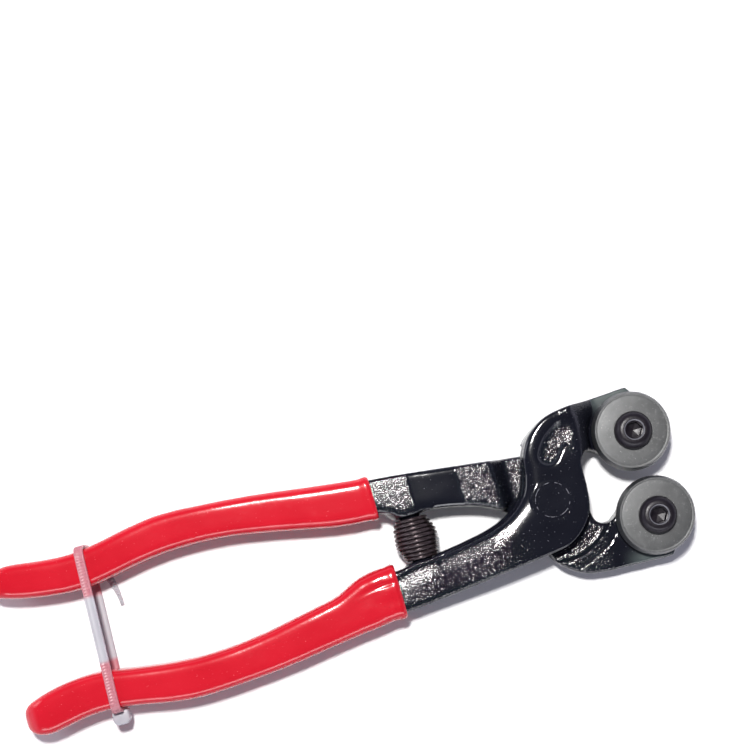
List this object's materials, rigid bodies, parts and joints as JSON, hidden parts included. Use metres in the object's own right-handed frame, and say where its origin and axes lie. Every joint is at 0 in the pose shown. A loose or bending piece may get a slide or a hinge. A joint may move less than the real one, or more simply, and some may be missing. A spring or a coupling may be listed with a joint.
{
  "type": "mosaic glass nippers",
  "caption": "Spring-opened plier with carbide cutting wheels on crossed cast jaws and dipped vinyl grips, for nipping glass mosaic tiles.",
  "frame": {"origin": "centre of the flat rivet head on the back face, on the pivot axis", "axes": "+X along the tool from the grips to the wheels, +Z along the pivot axis towards the wheels, +Y from the front half's handle to the back half's handle"},
  "size_m": [0.1952, 0.0531, 0.0184],
  "materials": {
    "body_paint": "gloss black paint over rough cast steel",
    "grip_vinyl": "gloss dipped vinyl",
    "spring_wire": "dark drawn wire",
    "wheel_carbide": "ground sintered carbide",
    "black_oxide": "black oxide",
    "tie_nylon": "natural nylon"
  },
  "bodies": {
    "back_handle": {"back_half": "body_paint", "back_grip": "grip_vinyl", "pivot_rivet": "body_paint", "lower_wheel_screw": "black_oxide", "return_spring": "spring_wire", "cable_tie": "tie_nylon"},
    "front_handle": {"front_half": "body_paint", "front_grip": "grip_vinyl", "upper_wheel_screw": "black_oxide"},
    "upper_cutter": {"upper_wheel": "wheel_carbide"},
    "lower_cutter": {"lower_wheel": "wheel_carbide"}
  },
  "joints": [
    {"name": "pivot", "type": "hinge", "parent": "back_handle", "child": "front_handle", "pos_m": [0, 0, 0.008], "axis": [0, 0, 1], "range_deg": [-4.3, 12], "stiffness_Nm_per_rad": 4.5, "deforming": ["return_spring", "cable_tie"]},
    {"name": "upper_wheel_turn", "type": "hinge", "parent": "front_handle", "child": "upper_cutter", "pos_m": [0.0266, 0.0121, 0.0121], "axis": [0, 0, 1], "continuous": true},
    {"name": "lower_wheel_turn", "type": "hinge", "parent": "back_handle", "child": "lower_cutter", "pos_m": [0.0266, -0.0121, 0.0121], "axis": [0, 0, 1], "continuous": true}
  ]
}
